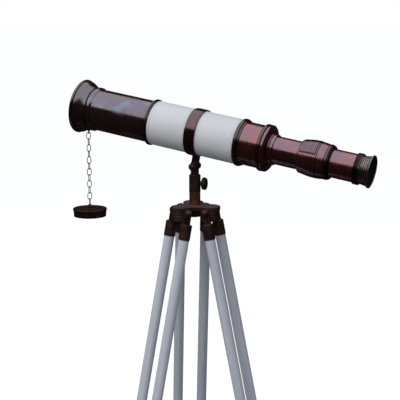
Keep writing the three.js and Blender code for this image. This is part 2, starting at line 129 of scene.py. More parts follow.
def rounded(corners, steps=5, support=1.5):
    """A closed outline with arcs at the corners that name a round, and a point near each corner's ends."""
    points = []
    count = len(corners)
    for i, corner in enumerate(corners):
        here = Vector(corner[:2])
        if len(corner) < 3:
            points.append(here)
            continue
        before = Vector(corners[i - 1][:2]) - here
        after = Vector(corners[(i + 1) % count][:2]) - here
        half = before.angle(after) / 2
        reach = min(corner[2] / math.tan(half), 0.49 * before.length, 0.49 * after.length)
        radius = reach * math.tan(half)
        middle = here + (before.normalized() + after.normalized()).normalized() * radius / math.sin(half)
        first = here + before.normalized() * reach - middle
        sweep = first.angle_signed(here + after.normalized() * reach - middle)
        for k in range(steps + 1):
            points.append(middle + Matrix.Rotation(-sweep * k / steps, 2) @ first)
    return supported(points, support)


def supported(points, distance):
    """Adds a point near both ends of each long stretch, so that flat stretches shade flat."""
    result = []
    for here, there in zip(points, points[1:] + points[:1]):
        result.append(here)
        length = (there - here).length
        on_axis = abs(here.y) < 1e-6 and abs(there.y) < 1e-6
        if length > 3 * distance and not on_axis:
            result.append(here.lerp(there, distance / length))
            result.append(here.lerp(there, 1 - distance / length))
    return result


def ring(start, end, bore, radius, edge):
    return [(start, bore, 0.3), (start, radius, edge), (end, radius, edge), (end, bore, 0.3)]


def arc(middle, height, radius, start, end, steps):
    """Corners along an arc about (middle, height); angles in degrees from the +along direction."""
    angles = [math.radians(start + (end - start) * i / steps) for i in range(steps + 1)]
    return [(middle + radius * math.cos(a), height + radius * math.sin(a)) for a in angles]


def flare(start, end, radius_start, radius_end, power, steps=14):
    return [(start + (end - start) * i / steps,
             radius_start + (radius_end - radius_start) * (i / steps) ** power) for i in range(steps + 1)]


def smooth_through(corners, steps=6):
    """A Catmull-Rom curve through the corners."""
    points = [Vector(corner) for corner in corners]
    points = [2 * points[0] - points[1], *points, 2 * points[-1] - points[-2]]
    curve = []
    for a, b, c, d in zip(points, points[1:], points[2:], points[3:]):
        for k in range(steps):
            t = k / steps
            curve.append(tuple(0.5 * (2 * b + (c - a) * t + (2 * a - 5 * b + 4 * c - d) * t ** 2
                                      + (3 * b - a - 3 * c + d) * t ** 3)))
    return curve + [tuple(points[-2])]


def groove(at, radius, width, depth):
    """Corners of a small V groove cut into a cylinder that runs towards +along."""
    return [(at - width / 2, radius, 0.15), (at, radius - depth), (at + width / 2, radius, 0.15)]


# ---- meshes ----
def mark_edges(mesh_data):
    """Writes how convex (wear) and how concave each vertex is, for the materials; the concave mark is used as
    painted shade that darkens creases.
    """
    work = bmesh.new()
    work.from_mesh(mesh_data)
    wear = work.verts.layers.float.new("wear")
    crevice_shade = work.verts.layers.float.new("crevice_shade")
    soft, full = math.radians(7), math.radians(17)
    for vertex in work.verts:
        angles = [edge.calc_face_angle_signed(0) for edge in vertex.link_edges]
        vertex[wear] = min(max((max(angles, default=0) - soft) / (full - soft), 0), 1)
        vertex[crevice_shade] = min(max((-min(angles, default=0) - soft) / (full - soft), 0), 1)
    work.to_mesh(mesh_data)
    work.free()


def mesh_from(work, name):
    """Ends bmesh work and returns it as a mesh."""
    data = bpy.data.meshes.new(name)
    work.to_mesh(data)
    work.free()
    return data


def mesh_from_rings(name, rings, around=True, capped=False):
    """Skins rings of points; a ring of one point is a pole. around joins the last ring to the first."""
    work = bmesh.new()
    rows = [[work.verts.new(point * MM) for point in points] for points in rings]
    pairs = list(zip(rows, rows[1:] + rows[:1])) if around else list(zip(rows, rows[1:]))
    for low, high in pairs:
        if len(low) == 1 and len(high) == 1:
            continue
        for k in range(max(len(low), len(high))):
            corners = [low[k % len(low)], low[(k + 1) % len(low)],
                       high[(k + 1) % len(high)], high[k % len(high)]]
            work.faces.new(list(dict.fromkeys(corners)))
    if capped:
        work.faces.new(rows[0][::-1])
        work.faces.new(rows[-1])
    bmesh.ops.recalc_face_normals(work, faces=work.faces)
    return mesh_from(work, name)


def turned_mesh(name, outline, segments=SEGMENTS, angles=None, radius_at=None):
    """A mesh of revolution about Z. radius_at(along, radius, angle) may shape it further."""
    angles = angles or full_turn(segments)
    rings = []
    for along, radius in outline:
        if radius < 1e-6:
            rings.append([Vector((0, 0, along))])
            continue
        reach = [radius_at(along, radius, a) if radius_at else radius for a in angles]
        rings.append([polar(r, a, along) for r, a in zip(reach, angles)])
    return mesh_from_rings(name, rings)


def round_mesh(corners, segments):
    """A mesh of revolution about Z, rounded at the corners that name a round."""
    return turned_mesh("round", rounded(corners), segments)


def rod_mesh(start, end, radius, segments=32):
    """A plain cylinder about Z, for holes and bores."""
    corners = ((start, 0), (start, radius), (end, radius), (end, 0))
    return turned_mesh("rod", [Vector(corner) for corner in corners], segments)


def inset(outline, distance):
    """The closed outline moved inwards by a distance, corner by corner."""
    moved = []
    for i, here in enumerate(outline):
        before = (here - outline[i - 1]).normalized()
        after = (outline[(i + 1) % len(outline)] - here).normalized()
        inward = Vector((-before.y - after.y, before.x + after.x)).normalized()
        square = inward.dot(Vector((-before.y, before.x)))
        moved.append(here + inward * distance / max(square, 0.3))
    return moved


def slab_mesh(name, outline, low, high, edge, steps=4):
    """A plate between two heights along Z, with its edges rounded. The outline runs anticlockwise."""
    levels = []
    for k in range(steps + 1):
        swing = math.pi / 2 * k / steps
        levels.append((edge * (1 - math.sin(swing)), low + edge * (1 - math.cos(swing))))
    levels += [(depth, high + low - height) for depth, height in reversed(levels)]
    rings = [[point.to_3d() + Vector((0, 0, height)) for point in inset(outline, depth)]
             for depth, height in levels]
    rim = inset(outline, edge + 1.2)
    rings.insert(0, [point.to_3d() + Vector((0, 0, low)) for point in rim])
    rings.append([point.to_3d() + Vector((0, 0, high)) for point in rim])
    return mesh_from_rings(name, rings, around=False, capped=True)


def loop_mesh(name, path, radius, sides=12):
    """A round wire along a closed path of points."""
    count = len(path)
    middle = sum(path, Vector()) / count
    rings = []
    normal = (path[1] - path[0]).cross(middle - path[0]).normalized()
    for i, here in enumerate(path):
        ahead = (path[(i + 1) % count] - path[i - 1]).normalized()
        outward = ahead.cross(normal)
        rings.append([here + (outward * math.cos(a) + normal * math.sin(a)) * radius
                      for a in full_turn(sides)])
    return mesh_from_rings(name, rings)


def scene_object(name, data):
    thing = bpy.data.objects.new(name, data)
    bpy.context.scene.collection.objects.link(thing)
    return thing


def loose_object(data, place):
    if place is not None:
        data.transform(place)
    return scene_object(data.name, data)


def combined(name, added, removed=(), solver="MANIFOLD"):
    """One mesh: the union of the added (mesh, place) pairs without the removed ones. None is no move."""
    base = loose_object(*added[0])
    helpers = []
    for operation, rows in (("UNION", added[1:]), ("DIFFERENCE", removed)):
        for data, place in rows:
            helpers.append(loose_object(data, place))
            step = base.modifiers.new(operation, "BOOLEAN")
            step.operation = operation
            step.solver = solver
            step.object = helpers[-1]
    whole = base.evaluated_get(bpy.context.evaluated_depsgraph_get())
    data = bpy.data.meshes.new_from_object(whole)
    data.name = name
    data.materials.clear()
    for face in data.polygons:
        face.material_index = 0
    for helper in [base, *helpers]:
        bpy.data.objects.remove(helper)
    return data


def piece(name, data, place, looks, body, slot, stands_for=(), marked=True):
    """Makes a shown piece from a mesh in its local frame, and ties it to the CAD frame."""
    if marked:
        mark_edges(data)
    thing = scene_object(name, data)
    for look in looks if isinstance(looks, (list, tuple)) else [looks]:
        data.materials.append(look)
    data.shade_smooth()
    data.set_sharp_from_angle(angle=math.radians(SHARP_ANGLE))
    weighted = thing.modifiers.new("even_shading", "WEIGHTED_NORMAL")
    weighted.keep_sharp = True
    thing.matrix_world = place
    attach(thing, body)
    if stands_for:
        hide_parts(*stands_for)


def piece_for(node, data, place, looks, **options):
    piece(f"{node}_fine", data, place, looks, BODY_OF[node], SLOT_OF[node], (node,), **options)


def combined_for(node, added, removed, place, look, **options):
    """A union of meshes that stands for a CAD node."""
    piece_for(node, combined(f"{node}_fine", added, removed, **options), place, look, marked=False)


def turned_for(node, corners, place, looks, paint=None, segments=SEGMENTS, **options):
    """A turned piece that stands for a CAD node. paint(along, radius) gives the look's number."""
    data = turned_mesh(f"{node}_fine", rounded(corners), segments, **options)
    if paint:
        for face in data.polygons:
            face.material_index = paint(face.center.z / MM, face.center.xy.length / MM)
    piece_for(node, data, place, looks)


# ---- material nodes ----
def give(tree, socket, value):
    """Links an output to the socket, or sets the socket's value."""
    if isinstance(value, bpy.types.NodeSocket):
        tree.links.new(value, socket)
    else:
        socket.default_value = value


def add_node(tree, kind, inputs=(), **properties):
    node = tree.nodes.new(kind)
    for label, value in properties.items():
        setattr(node, label, value)
    for key, value in dict(inputs).items():
        give(tree, node.inputs[key], value)
    return node


class Recipe:
    """Builds one material's nodes around a Principled shader."""

    def __init__(self, name, **settings):
        self.material = bpy.data.materials.new(name)
        self.material.use_nodes = True
        self.tree = self.material.node_tree
        self.shader = self.tree.nodes["Principled BSDF"]
        for label, value in settings.items():
            self.set(label.replace("_", " "), value)

    def add(self, kind, inputs=(), **properties):
        return add_node(self.tree, kind, inputs, **properties)

    def set(self, label, value):
        give(self.tree, self.shader.inputs[label], value)

    def place(self, scale=(1, 1, 1), offset=(0, 0, 0)):
        """The piece's own coordinates in metres, stretched and moved."""
        own = self.add("ShaderNodeTexCoord").outputs["Object"]
        return self.add("ShaderNodeMapping", {"Vector": own, "Scale": scale, "Location": offset}).outputs[0]

    def noise(self, grain, detail, **placing):
        """Noise from 0 to 1, with about grain waves to the metre."""
        inputs = {"Vector": self.place(**placing), "Scale": grain, "Detail": detail, "Roughness": 0.55}
        return self.add("ShaderNodeTexNoise", inputs).outputs["Fac"]

    def patches(self, grain, detail, low, high, least=0.0, most=1.0, **placing):
        """Noise drawn apart: least where it is below low, most where it is above high."""
        return self.range(self.noise(grain, detail, **placing), low, high, least, most)

    def cells(self, grain, feature="F1", **placing):
        inputs = {"Vector": self.place(**placing), "Scale": grain}
        return self.add("ShaderNodeTexVoronoi", inputs, feature=feature).outputs[0]

    def math(self, operation, first, second):
        return self.add("ShaderNodeMath", {0: first, 1: second}, operation=operation).outputs[0]

    def range(self, value, low, high, least=0.0, most=1.0):
        inputs = {"Value": value, "From Min": low, "From Max": high, "To Min": least, "To Max": most}
        return self.add("ShaderNodeMapRange", inputs, interpolation_type="SMOOTHSTEP").outputs[0]

    def mix(self, share, first, second):
        node = self.add("ShaderNodeMix", {0: share}, data_type="RGBA")
        for socket, value in ((node.inputs[6], first), (node.inputs[7], second)):
            give(self.tree, socket, (*value, 1) if isinstance(value, tuple) else value)
        return node.outputs[2]

    def marked(self, name, share):
        """The wear, or the concave mark used as painted shade, written at the vertices, times a share."""
        mark = self.add("ShaderNodeAttribute", attribute_name=name).outputs["Fac"]
        return self.math("MULTIPLY", mark, share)

    def bump(self, heights, distance, strength, under=None):
        inputs = {"Height": heights, "Distance": distance, "Strength": strength}
        if under is not None:
            inputs["Normal"] = under
        return self.add("ShaderNodeBump", inputs).outputs[0]


# near-black painted shade for concave creases
CREVICE_SHADE = (0.012, 0.008, 0.007)
# pale lavender of painted light on upward faces
TOP_LIGHT = (0.125, 0.088, 0.10)
TURNED = (0.02, 0.02, 1)             # stretch that makes lines round a turned piece


def times(factor, color):
    return tuple(factor * value for value in color)


def antique_bronze(name, base, clouds, cool, hot, heat, patch=0):
    """Polished antique bronze in soft patina clouds; heat is the share of hot patches, patch moves them."""
    look = Recipe(name, Metallic=1.0)
    tint = look.mix(look.patches(22, 3, 0.34, 0.68), base, clouds)
    chill = look.patches(26, 3, 0.44, 0.70, offset=(3 + patch, 1, 2))
    tint = look.mix(look.math("MULTIPLY", chill, 1.0 - 0.6 * heat), tint, cool)
    hot_from = 0.60 - 0.22 * heat
    flush = look.patches(24, 3, hot_from, hot_from + 0.24, offset=(1 + patch, 5, 7))
    tint = look.mix(look.math("MULTIPLY", flush, 0.3 + 0.6 * heat), tint, hot)
    tint = look.mix(look.patches(420, 2, 0.62, 0.78, most=0.4), tint, times(0.6, clouds))
    tint = look.mix(look.marked("wear", look.patches(90, 4, 0.4, 0.7, 0.1, 0.7)), tint, times(1.5, clouds))
    # painted shade: concave creases darkened nearly to black, and made rougher
    painted_shade = look.marked("crevice_shade", 0.95)
    look.set("Base Color", look.mix(painted_shade, tint, CREVICE_SHADE))
    lines = look.noise(2600, 2, scale=TURNED)
    rough = look.math("ADD", look.patches(38, 5, 0.35, 0.7, 0.13, 0.25), look.math("MULTIPLY", painted_shade, 0.3))
    look.set("Roughness", look.math("ADD", rough, look.range(lines, 0.5, 0.75, 0.0, 0.05)))
    ripple = look.bump(look.noise(55, 2), 0.0006, 0.35)
    look.set("Normal", look.bump(lines, 0.00004, 0.5, under=ripple))
    return look.material


def satin_bronze(name, color, shine, rough, copper=0.3, grain=700, metal=1.0, pale_share=0.0):
    """Dark brown bronze of the castings and fittings, lighter where it is handled, with painted light on the
    upward faces where a share for it is given.
    """
    look = Recipe(name, Metallic=metal)
    tint = look.mix(look.patches(45, 5, 0.35, 0.68), color, times(1.7, color))
    warm = look.patches(60, 4, 0.55, 0.75, most=copper, offset=(4, 2, 9))
    tint = look.mix(warm, tint, (shine[0], shine[1] * 0.6, shine[2] * 0.45))
    tint = look.mix(look.marked("wear", look.patches(140, 4, 0.4, 0.7, 0.2, 0.9)), tint, shine)
    # painted light: upward faces paler and less metallic, as if lit from above
    if pale_share:
        normal = look.add("ShaderNodeNewGeometry").outputs["Normal"]
        level = look.add("ShaderNodeSeparateXYZ", {0: normal}).outputs["Z"]
        facing_up = look.range(level, 0.75, 0.98, most=pale_share)
        top_lit = look.math("MULTIPLY", facing_up, look.patches(30, 4, 0.3, 0.7, 0.6, 1.0))
        tint = look.mix(top_lit, tint, TOP_LIGHT)
        look.set("Metallic", look.math("MULTIPLY", look.math("SUBTRACT", 1.0, top_lit), metal))
    # painted shade: concave creases darkened
    look.set("Base Color", look.mix(look.marked("crevice_shade", 0.85), tint, CREVICE_SHADE))
    look.set("Roughness", look.patches(85, 4, 0.35, 0.7, rough, rough + 0.14))
    look.set("Normal", look.bump(look.noise(grain, 3), 0.00015, 0.35))
    return look.material


def white_leather():
    """Fine pebbled leather with faint clouds, creases and slow waves."""
    look = Recipe("white_leather", Metallic=0.0, Specular_IOR_Level=0.4)
    tint = look.mix(look.patches(16, 4, 0.3, 0.7), (0.80, 0.825, 0.86), (0.86, 0.875, 0.895))
    valley = look.range(look.cells(620, "DISTANCE_TO_EDGE"), 0.0, 0.12, 1.0, 0.0)
    tint = look.mix(look.math("MULTIPLY", valley, 0.22), tint, (0.60, 0.62, 0.65))
    # painted shade: the leather's creases and ends darkened
    look.set("Base Color", look.mix(look.marked("crevice_shade", 0.5), tint, (0.36, 0.35, 0.36)))
    look.set("Roughness", look.patches(60, 4, 0.3, 0.7, 0.48, 0.62))
    waves = look.bump(look.noise(45, 3), 0.0012, 0.25)
    skin = look.bump(valley, -0.00012, 0.6, under=waves)
    pebbles = look.cells(950, offset=(2, 2, 2))
    look.set("Normal", look.bump(pebbles, 0.0001, 0.5, under=skin))
    return look.material


def painted_wood():
    """Thin white paint over turned wood: long faint streaks, grain and small nicks."""
    look = Recipe("painted_wood", Metallic=0.0, Specular_IOR_Level=0.45)
    streaks = look.noise(150, 5, scale=(1, 1, 0.035))
    veins = look.noise(420, 3, scale=(1, 1, 0.012), offset=(3, 1, 0))
    tint = look.mix(look.range(streaks, 0.35, 0.68), (0.66, 0.70, 0.79), (0.79, 0.82, 0.86))
    tint = look.mix(look.patches(14, 3, 0.45, 0.7, most=0.5, scale=(1, 1, 0.5)), tint, (0.75, 0.75, 0.82))
    tint = look.mix(look.range(veins, 0.62, 0.75, 0.0, 0.3), tint, (0.46, 0.47, 0.52))
    nicks = look.patches(210, 2, 0.76, 0.8, most=0.55, scale=(1, 1, 0.3), offset=(7, 3, 1))
    look.set("Base Color", look.mix(nicks, tint, (0.36, 0.34, 0.33)))
    look.set("Roughness", look.range(streaks, 0.3, 0.7, 0.38, 0.52))
    grain = look.bump(veins, 0.00012, 0.6)
    look.set("Normal", look.bump(streaks, 0.0003, 0.3, under=grain))
    return look.material


def black_plastic(name, rough, specular=0.5):
    look = Recipe(name, Metallic=0.0, Specular_IOR_Level=specular)
    tint = look.mix(look.noise(80, 4), (0.005, 0.005, 0.006), (0.014, 0.014, 0.015))
    look.set("Base Color", look.mix(look.marked("wear", 0.5), tint, (0.07, 0.07, 0.075)))
    look.set("Roughness", look.patches(120, 3, 0.3, 0.7, rough, rough + 0.12))
    look.set("Normal", look.bump(look.noise(1500, 2), 0.00006, 0.5))
    return look.material


def matt_lining():
    """Blackened inside of the tubes, with faint turning lines."""
    look = Recipe("blackened_inside", Metallic=0.0, Specular_IOR_Level=0.25)
    lines = look.noise(1500, 3, scale=TURNED)
    pale_share = look.patches(300, 4, 0.5, 0.75)
    look.set("Base Color", look.mix(pale_share, (0.010, 0.009, 0.009), (0.030, 0.027, 0.025)))
    look.set("Roughness", look.range(lines, 0.3, 0.7, 0.55, 0.75))
    look.set("Normal", look.bump(lines, 0.0001, 0.5))
    return look.material


def clear_glass():
    look = Recipe("lens_glass", Metallic=0.0, Transmission_Weight=1.0, IOR=1.52, Coat_Weight=0.6)
    smear = look.noise(45, 5)
    look.set("Base Color", look.mix(look.range(smear, 0.4, 0.7), (0.93, 0.97, 0.98), (0.86, 0.92, 0.97)))
    look.set("Roughness", look.range(smear, 0.45, 0.75, 0.01, 0.06))
    look.set("Normal", look.bump(look.noise(30, 2, offset=(2, 0, 1)), 0.0001, 0.1))
    return look.material


def thread():
    look = Recipe("seam_thread", Metallic=0.0, Roughness=0.7)
    twist = look.noise(2400, 2, scale=(1, 1, 0.6))
    look.set("Base Color", look.mix(twist, (0.62, 0.62, 0.63), (0.78, 0.78, 0.79)))
    look.set("Normal", look.bump(twist, 0.0001, 0.6))
    return look.material


# base, clouds, cool and hot colours
HOOD_BRONZE = antique_bronze("hood_bronze", (0.24, 0.225, 0.275), (0.25, 0.20, 0.215),
                             (0.27, 0.31, 0.39), (0.33, 0.21, 0.18), heat=0.1)
BELL_BRONZE = antique_bronze("bell_bronze", (0.21, 0.21, 0.22), (0.185, 0.18, 0.185),
                             (0.19, 0.225, 0.25), (0.27, 0.24, 0.17), heat=0.2)
EYE_BRONZE = antique_bronze("eye_end_bronze", (0.29, 0.195, 0.23), (0.36, 0.19, 0.19),
                            (0.25, 0.205, 0.265), (0.48, 0.215, 0.18), heat=0.7, patch=1)
REAR_BRONZE = antique_bronze("rear_tube_bronze", (0.34, 0.20, 0.215), (0.43, 0.19, 0.17),
                             (0.29, 0.21, 0.25), (0.50, 0.22, 0.17), heat=0.45, patch=3)
BAND_BRONZE = antique_bronze("band_bronze", (0.17, 0.125, 0.135), (0.20, 0.13, 0.125),
                             (0.16, 0.14, 0.17), (0.24, 0.13, 0.11), heat=0.4)
BEAD_BRONZE = antique_bronze("bead_bronze", (0.14, 0.12, 0.12), (0.17, 0.135, 0.13),
                             (0.13, 0.125, 0.14), (0.20, 0.13, 0.11), heat=0.3)
PLATE_BRONZE = antique_bronze("plate_bronze", (0.20, 0.15, 0.165), (0.22, 0.14, 0.145),
                              (0.20, 0.17, 0.20), (0.27, 0.15, 0.135), heat=0.4)
# colour, worn colour and roughness
DARK_BRONZE = satin_bronze("dark_bronze", (0.058, 0.034, 0.029), (0.24, 0.17, 0.155), 0.34, metal=0.7)
# the hub, with painted light on its upward faces
HUB_BRONZE = satin_bronze("hub_bronze", (0.058, 0.034, 0.030), (0.24, 0.17, 0.155), 0.34,
                          metal=0.6, pale_share=1.0)
RING_BRONZE = satin_bronze("ring_bronze", (0.035, 0.026, 0.025), (0.18, 0.14, 0.13), 0.26)
RIB_BRONZE = satin_bronze("rib_bronze", (0.19, 0.16, 0.165), (0.36, 0.31, 0.31), 0.26,
                          copper=0.1, grain=250)
COLUMN_BRONZE = satin_bronze("column_bronze", (0.16, 0.062, 0.030), (0.38, 0.19, 0.10), 0.3,
                             copper=0.8, metal=0.7)
CAP_BRONZE = satin_bronze("cap_bronze", (0.045, 0.026, 0.022), (0.22, 0.14, 0.11), 0.24,
                          grain=400, metal=0.8)
CHAIN_METAL = satin_bronze("chain_metal", (0.13, 0.10, 0.10), (0.50, 0.40, 0.38), 0.34, copper=0.2)
LEATHER = white_leather()
WOOD = painted_wood()
KNOB_PLASTIC = black_plastic("knob_plastic", 0.5)
DISH_BLACK = black_plastic("dish_black", 0.5, specular=0.15)
LINING = matt_lining()
GLASS = clear_glass()
THREAD = thread()


# ---- optical tube ----
BELL_RIM = 62.2                  # radius over the rolled rim
BELL_BACK = 49.0                 # radius where the hood meets the groove in its neck
BELL_GROOVE = 46.5               # radius in that groove


def bell_corners(start, end, bore):
    """The flared hood: start is its rolled rim, end the spigot in the main tube."""
    neck = end - 9 - GAP
    groove_end = neck - 3.2
    roll, roll_at = 3.5, start + 3.5
    rim = BELL_RIM - roll
    steps = 16
    back, crease = groove_end - 0.5, roll_at + 4.8
    outer = []
    for i in range(1, steps + 1):
        share = i / steps
        outer.append((back + (crease - back) * share, BELL_BACK + 11.0 * share ** 2 * (3 - 2 * share)))
    inner = flare(neck + GAP, roll_at - 1.2, bore, rim - 3.2, 2.2)
    return [
        (end, bore), (end, bore + 1.5, 0.4), (neck, bore + 1.5), (neck, BELL_GROOVE),
        (groove_end, BELL_GROOVE, 0.5), (back, BELL_BACK, 0.3), *outer,
        (crease - 0.7, rim - 0.9, 0.2), *arc(roll_at, rim, roll, 5, 238, 18), *inner[::-1],
    ]


def add_front():
    start, end, bore, _ = measured("objective_bell", OPTICS)
    turned_for("objective_bell", bell_corners(start, end, bore), OPTICS, [BELL_BRONZE, LINING],
               paint=lambda along, r: int(r < BELL_GROOVE and along > start + 30), segments=FINE)
    start, end, bore, radius = measured("hood_ring", OPTICS)
    hood_ring = [(start, bore, 0.3), (start, radius - 0.5, 0.8), (start + 2.4, radius, 0.8),
                 (end - 4.0, radius, 1.5), (end, bore + 0.5, 0.2), (end, bore, 0.1)]
    turned_for("hood_ring", hood_ring, OPTICS, HOOD_BRONZE, segments=FINE)
    start, end, bore, radius = measured("main_tube", OPTICS)
    # the corner at 0 parts the colours in front of and behind the leather
    tube = [(start, bore, 0.3), (start, radius, 0.3), (0, radius), (end, radius, 0.3), (end, bore, 0.3)]
    turned_for("main_tube", tube, OPTICS, [HOOD_BRONZE, LINING, REAR_BRONZE],
               paint=lambda along, r: 1 if r < radius - 0.6 else 2 * int(along > 0), segments=FINE)
    start, end, bore, radius = measured("objective_cell", OPTICS)
    cell = [(start, bore, 0.6), (start, radius, 0.5), (end, radius, 0.5), (end, bore + 1.4, 0.3),
            (end - 3, bore + 1.4, 0.2), (end - 3, 42.8), (start + 12.7, 42.8), (start + 12.7, bore, 0.3),
            *groove(start + 6, bore, 1.0, -0.5)[::-1]]
    turned_for("objective_cell", cell, OPTICS, RING_BRONZE)


def lens_corners(start, end, radius, edge):
    middle = (start + end) / 2
    bulge = (end - start - edge) / 2
    front = [(middle - edge / 2 - bulge * (1 - (i / 10) ** 2), radius * i / 10) for i in range(11)]
    back = [(2 * middle - along, r) for along, r in reversed(front)]
    return front + back


def add_lenses():
    for node, edge in (("objective_lens", 4), ("relay_lens", 3), ("eyepiece_lens", 3)):
        start, end, _, radius = measured(node, OPTICS)
        data = turned_mesh(f"{node}_fine", [Vector(c) for c in lens_corners(start, end, radius, edge)])
        piece_for(node, data, OPTICS, GLASS)


def add_bead_rings():
    """The rings at the leather's two ends: a bright band with a dark groove beside it."""
    start, end, bore, radius = measured("front_bead_ring", OPTICS)
    front = [(start, bore), (start, radius - 2.2, 0.8), (start + 1.4, radius, 0.9), (end - 3.0, radius, 0.5),
             (end - 2.6, radius - 2.3, 0.2), (end - 1.3, radius - 2.3, 0.2), (end - 1.0, radius - 1.6, 0.3),
             (end, radius - 1.8, 0.4), (end, bore)]
    turned_for("front_bead_ring", front, OPTICS, BEAD_BRONZE, segments=FINE)
    start, end, bore, radius = measured("rear_bead_ring", OPTICS)
    rear = [(start, bore), (start, radius - 1.6, 0.6), (start + 1.6, radius - 0.2, 0.8),
            (start + 4.0, radius, 1.2), (end - 4.8, radius - 0.5, 0.8), (end - 4.2, radius - 3.4, 0.2),
            (end - 2.6, radius - 3.4, 0.2), (end - 2.2, radius - 2.6, 0.3), (end, radius - 3.0, 0.8),
            (end, bore)]
    turned_for("rear_bead_ring", rear, OPTICS, BEAD_BRONZE, segments=FINE)


SEAM_HALF = 0.9                  # half width of the leather's butt seam
SEAM_ANGLE = math.pi             # under the tube
SLEEVE = measured("leather_sleeve", OPTICS)


def seam_angles():
    """Even steps round the tube, with fine ones at the seam."""
    even = full_turn(FINE)
    fine = [SEAM_ANGLE + math.radians(0.25) * k for k in range(-12, 13)]
    clear = math.radians(3.4)
    return sorted([a for a in even if abs(a - SEAM_ANGLE) > clear] + fine)


def leather_radius(along, radius, angle):
    """The sleeve's surface, with a butt seam underneath."""
    if radius < SLEEVE[2] + 1:
        return radius
    off_seam = (angle - SEAM_ANGLE) * radius / SEAM_HALF
    return radius - 0.7 * math.exp(-off_seam ** 2)


def add_sleeve():
    start, end, bore, radius = SLEEVE
    corners = [(start, bore), (start, radius - 1.5, 0.3), (start + 1.8, radius, 1.2)]
    for side in (start + 6, -16.5, 16.5, end - 6):
        corners += [(side - 0.7, radius), (side, radius - 0.25), (side + 0.7, radius)]
    corners += [(end - 1.8, radius, 1.2), (end, radius - 1.5, 0.3), (end, bore)]
    turned_for("leather_sleeve", corners, OPTICS, LEATHER, angles=seam_angles(), radius_at=leather_radius)


def add_stitches():
    """Two rows of short thread stitches along the seam under the sleeve."""
    start, end, _, radius = SLEEVE
    pitch, length, thick, offset = 4.6, 3.0, 0.42, 2.6
    work = bmesh.new()
    for i in range(int((end - start - 12) / pitch)):
        along = start + 7 + pitch * i
        if abs(along) < 15:
            continue
        for side in (-1, 1):
            angle = SEAM_ANGLE + side * offset / radius
            across = polar(1, angle, 0) * (radius - 0.05)
            spot = Matrix.Translation((across + Vector((0, 0, along))) * MM) @ turn(math.degrees(angle), "Z")
            size = Matrix.Diagonal((thick * MM, thick * 1.3 * MM, length / 2 * MM, 1))
            bmesh.ops.create_uvsphere(work, u_segments=8, v_segments=8, radius=1, matrix=spot @ size)
    data = mesh_from(work, "sleeve_stitches")
    piece("sleeve_stitches", data, OPTICS, THREAD, "optical_tube", "leather", marked=False)


def ear_outline(half_width, top, steps=14):
    """A plate's outline about a round lower end; top is the height of its flat upper edge."""
    points = [Vector((half_width, 0))]
    points += [Vector((half_width, top)), Vector((-half_width, top)), Vector((-half_width, 0))]
    for k in range(1, steps):
        points.append(polar(half_width, math.pi + math.pi * k / steps))
    return points


def add_clamp_band():
    start, end = -13.0, 13.0
    bore, radius = 50.3, 53.3
    profile = rounded([(start, bore, 0.3), (start, radius - 0.6, 0.5), (start + 2.2, radius - 0.6, 0.2),
                       (start + 2.6, radius, 0.4), (end - 2.6, radius, 0.4), (end - 2.2, radius - 0.6, 0.2),
                       (end, radius - 0.6, 0.5), (end, bore, 0.3)])
    band = turned_mesh("band", profile, FINE)
    # the lug hangs under the tube: plate X to station, plate Y to local up
    lug_turn = Matrix(((0, 1, 0, 0), (0, 0, 1, 0), (1, 0, 0, 0), (0, 0, 0, 1)))
    lug = slab_mesh("lug", ear_outline(8, PIVOT_DROP - 51.6), -4.8, 4.8, 0.9)
    pivot = shift(-PIVOT_DROP, 0, PIVOT_STATION)
    hole = rod_mesh(-12, 12, BOLT_HOLE)
    combined_for("clamp_band", [(band, None), (lug, pivot @ lug_turn)], [(hole, pivot @ turn(90, "X"))],
                 OPTICS, BAND_BRONZE)


def add_rear():
    start, end, bore, radius = measured("rear_flange", OPTICS)
    flange = [
        (start, bore), (start, radius - 1.6, 0.6), (start + 1.6, radius - 0.2, 0.8),
        (start + 6.2, radius, 1.0), (start + 6.8, radius - 3.4, 0.2), (start + 9.2, radius - 3.4, 0.2),
        (start + 9.6, radius - 0.6, 0.4), (start + 13.4, radius - 0.6, 1.6),
        *smooth_through([(end - 5.2, radius - 1.8), (end - 3.6, radius - 3.8), (end - 1.7, radius - 7.6),
                         (end, radius - 13.6)]),
        (end, bore - 11.6), (end - 3.6, bore - 11.6), (end - 5.6, 46.4), (end - 5.6, bore),
    ]
    turned_for("rear_flange", flange, OPTICS, [EYE_BRONZE, BEAD_BRONZE], segments=FINE,
               paint=lambda along, r: int(along < start + 9.3))
    start, end, bore, radius = measured("draw_guide_collar", OPTICS)
    spigot, seat = 33, 35.9
    collar = [
        (start, bore, 0.3), (start, spigot, 0.3), (end - 15, spigot), (end - 15, seat), (end - 10.1, seat),
        (end - 10.1, radius, 0.4), (end - 7.8, radius, 0.7), (end - 7.4, 35.4, 0.2), (end - 6.2, 34.4, 0.3),
        (end - 1.5, 33.8, 0.6), (end, 32.8, 0.5), (end, bore, 0.3),
    ]
    turned_for("draw_guide_collar", collar, OPTICS, EYE_BRONZE)


# ---- draw tube, relay barrel, eyepiece ----
RELAY_SEAM = 44                  # from the barrel's start
RELAY_SWELL = [(2.8, 36.3), (10, 37.3), (20, 38.9), (32, 40.0), (43, 40.0)]


def add_drawn_tube(node):
    """A plain tube, blackened inside."""
    start, end, bore, radius = measured(node, OPTICS)
    turned_for(node, ring(start, end, bore, radius, 0.3), OPTICS, [EYE_BRONZE, LINING],
               paint=lambda along, r: int(r < radius - 0.6))


